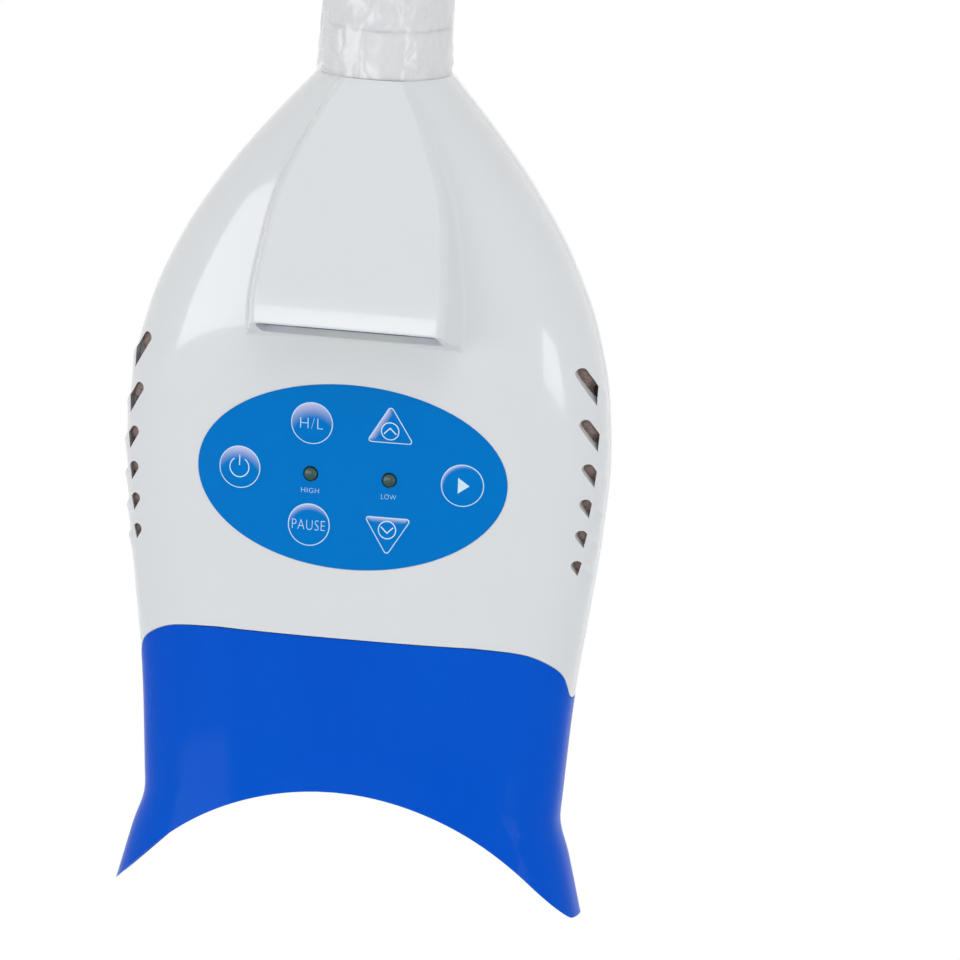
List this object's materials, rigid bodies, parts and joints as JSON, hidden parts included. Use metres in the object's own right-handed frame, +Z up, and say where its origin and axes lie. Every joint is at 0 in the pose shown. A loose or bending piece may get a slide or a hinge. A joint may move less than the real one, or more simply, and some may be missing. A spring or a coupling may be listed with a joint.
{
  "type": "teeth whitening lamp head",
  "caption": "White swivelling lamp head with a blue mouth shield, an oval key panel with round and arrow keys, and a countdown display under a raised hood.",
  "frame": {"origin": "centre of the arm socket's mouth, on top of the neck sleeve", "axes": "+Z up along the neck, towards the arm; -Y is the front with the keys and the display; +X is to the right seen from the front"},
  "size_m": [0.1702, 0.0769, 0.352],
  "materials": {
    "white_housing": "gloss",
    "white_neck": "gloss",
    "clear_film": "clear wrap",
    "blue_shield": "gloss, lightly see-through",
    "blue_panel": "satin film",
    "key_pad": "satin film, embossed",
    "dark_foam": "open foam",
    "navy_frame": "gloss",
    "dark_window": "polished",
    "display_black": "moulded",
    "circuit_board": "solder resist",
    "green_led": "clear tinted",
    "screw_steel": "zinc plated",
    "aluminium_part": "machined",
    "white_board": "white solder resist",
    "mirror_plastic": "vacuum metallised",
    "clear_lens": "clear",
    "black_plastic": "moulded",
    "cable_jacket": "smooth jacket",
    "grey_nylon": "natural",
    "grey_ribbon": "flat cable"
  },
  "bodies": {
    "neck": {"neck_sleeve": "white_neck", "swivel_tube": "screw_steel", "spring_washer": "screw_steel", "lock_nut": "screw_steel", "arm_clamp_screw": "screw_steel", "neck_film": "clear_film"},
    "head": {"neck_collar": "white_neck", "friction_washer": "grey_nylon", "front_housing": "white_housing", "rear_housing": "white_housing", "face_shield": "blue_shield", "membrane_panel": "blue_panel", "vent_filter_left": "dark_foam", "vent_filter_right": "dark_foam", "indicator_led_high": "green_led", "indicator_led_low": "green_led", "display_bezel": "navy_frame", "display_window": "dark_window", "display_module": "display_black", "display_board": "circuit_board", "control_board": "circuit_board", "heat_sink": "aluminium_part", "led_board": "white_board", "engine_plate": "aluminium_part", "reflector": "mirror_plastic", "lens_plate": "clear_lens", "fan_frame": "black_plastic", "power_cable": "cable_jacket", "display_ribbon": "grey_ribbon", "led_cable": "cable_jacket", "fan_cable": "cable_jacket", "housing_screw_1": "screw_steel", "housing_screw_2": "screw_steel", "housing_screw_3": "screw_steel", "housing_screw_4": "screw_steel", "housing_screw_5": "screw_steel", "housing_screw_6": "screw_steel", "board_screw_1": "screw_steel", "board_screw_2": "screw_steel", "board_screw_3": "screw_steel", "board_screw_4": "screw_steel", "shield_screw_1": "screw_steel", "shield_screw_2": "screw_steel", "fan_screw_1": "screw_steel", "fan_screw_2": "screw_steel", "engine_screw_1": "screw_steel", "engine_screw_2": "screw_steel", "plate_screw_1": "screw_steel", "plate_screw_2": "screw_steel", "plate_screw_3": "screw_steel", "plate_screw_4": "screw_steel"},
    "key_power": {"key_power": "key_pad"},
    "key_high_low": {"key_high_low": "key_pad"},
    "key_pause": {"key_pause": "key_pad"},
    "key_start": {"key_start": "key_pad"},
    "key_up": {"key_up": "key_pad"},
    "key_down": {"key_down": "key_pad"},
    "fan_rotor": {"fan_rotor": "black_plastic"}
  },
  "joints": [
    {"name": "neck_swivel", "type": "hinge", "parent": "neck", "child": "head", "pos_m": [0, 0, -0.0454], "axis": [0, 0, 1], "range_deg": [-90, 90]},
    {"name": "key_power_press", "type": "slide", "parent": "head", "child": "key_power", "axis": [0, 1, 0], "range_m": [0, 0.0004], "stiffness_N_per_m": 800},
    {"name": "key_high_low_press", "type": "slide", "parent": "head", "child": "key_high_low", "axis": [0, 1, 0], "range_m": [0, 0.0004], "stiffness_N_per_m": 800},
    {"name": "key_pause_press", "type": "slide", "parent": "head", "child": "key_pause", "axis": [0, 1, 0], "range_m": [0, 0.0004], "stiffness_N_per_m": 800},
    {"name": "key_start_press", "type": "slide", "parent": "head", "child": "key_start", "axis": [0, 1, 0], "range_m": [0, 0.0004], "stiffness_N_per_m": 800},
    {"name": "key_up_press", "type": "slide", "parent": "head", "child": "key_up", "axis": [0, 1, 0], "range_m": [0, 0.0004], "stiffness_N_per_m": 800},
    {"name": "key_down_press", "type": "slide", "parent": "head", "child": "key_down", "axis": [0, 1, 0], "range_m": [0, 0.0004], "stiffness_N_per_m": 800},
    {"name": "fan_spin", "type": "hinge", "parent": "head", "child": "fan_rotor", "pos_m": [0, 0, -0.2487], "axis": [0, 0, 1], "continuous": true}
  ]
}
